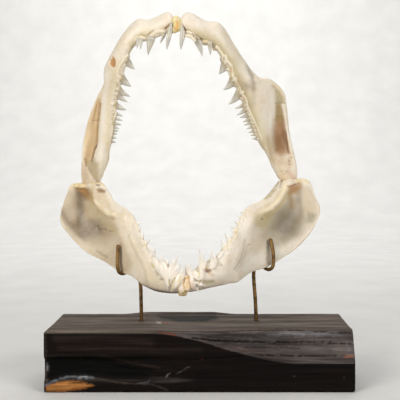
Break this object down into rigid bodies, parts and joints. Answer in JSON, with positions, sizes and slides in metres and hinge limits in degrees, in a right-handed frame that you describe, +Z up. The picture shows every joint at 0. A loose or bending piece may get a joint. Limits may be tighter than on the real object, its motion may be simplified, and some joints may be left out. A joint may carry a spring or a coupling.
{
  "type": "mounted mako-type shark jaw",
  "caption": "Dried shark jaw spread open, upper and lower halves with curved pointed teeth, held by two brass hooks on a charred wood block.",
  "frame": {"origin": "middle of the block's underside, on the surface that the block stands on, 54 mm behind its front face and 50 mm ahead of its back face", "axes": "+Z up; +X towards the right of someone facing the open mouth; +Y runs back from the front teeth towards the jaw joints"},
  "size_m": [0.3159, 0.128, 0.3904],
  "materials": {
    "dried_cartilage": "dried shark cartilage, cream and satin smooth, amber where gum dried on",
    "tooth_enameloid": "glossy white enameloid over a dull yellowish root",
    "dried_ligament": "dried amber-brown ligament and gum, slightly translucent",
    "aged_brass": "drawn brass rod with a brown patina",
    "charred_wood": "charred and brushed wood, near black with a satin sheen, grey-brown on top"
  },
  "bodies": {
    "root": {"upper_jaw_left": "dried_cartilage", "upper_jaw_right": "dried_cartilage", "lower_jaw_left": "dried_cartilage", "lower_jaw_right": "dried_cartilage", "upper_symphysis": "dried_ligament", "lower_symphysis": "dried_ligament", "joint_ligament_left": "dried_ligament", "joint_ligament_right": "dried_ligament", "stand_base": "charred_wood", "stand_rod_left": "aged_brass", "stand_rod_right": "aged_brass"}
  },
  "joints": []
}
